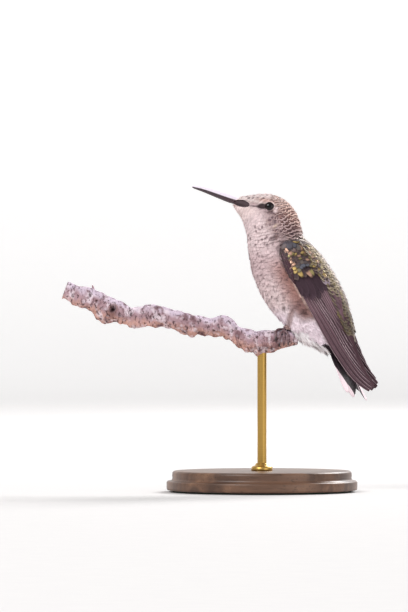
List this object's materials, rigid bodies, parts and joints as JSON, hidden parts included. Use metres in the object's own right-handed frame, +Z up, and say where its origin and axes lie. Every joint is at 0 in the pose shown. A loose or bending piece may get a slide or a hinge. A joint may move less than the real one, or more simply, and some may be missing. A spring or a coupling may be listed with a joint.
{
  "type": "hummingbird",
  "caption": "Still, life-size young hummingbird with folded wings, gripping a short cut twig held by one rod on a round wooden display base.",
  "frame": {"origin": "centre of the display base's underside", "axes": "+Z up, bird faces -X, its left side is -Y"},
  "size_m": [0.0899, 0.054, 0.0866],
  "materials": {
    "plumage_pale": "matte",
    "plumage_buff": "matte",
    "plumage_bronze": "satin",
    "flight_feather": "satin",
    "tail_feather": "satin",
    "bill_horn": "satin",
    "eye": "gloss",
    "foot_scale": "satin",
    "bark": "matte",
    "walnut": "satin",
    "brass": "satin"
  },
  "bodies": {
    "root": {"head": "plumage_pale", "neck": "plumage_pale", "trunk": "plumage_buff", "belly": "plumage_pale", "tail_coverts": "plumage_bronze", "bill_upper": "bill_horn", "bill_lower": "bill_horn", "eye_left": "eye", "wing_left_coverts": "plumage_bronze", "wing_left_secondaries": "flight_feather", "wing_left_primaries": "flight_feather", "tail_left": "tail_feather", "foot_left": "foot_scale", "leg_left": "plumage_buff", "eye_right": "eye", "wing_right_coverts": "plumage_bronze", "wing_right_secondaries": "flight_feather", "wing_right_primaries": "flight_feather", "tail_right": "tail_feather", "foot_right": "foot_scale", "leg_right": "plumage_buff", "perch_twig": "bark", "stand_base": "walnut", "stand_rod": "brass"}
  },
  "joints": []
}
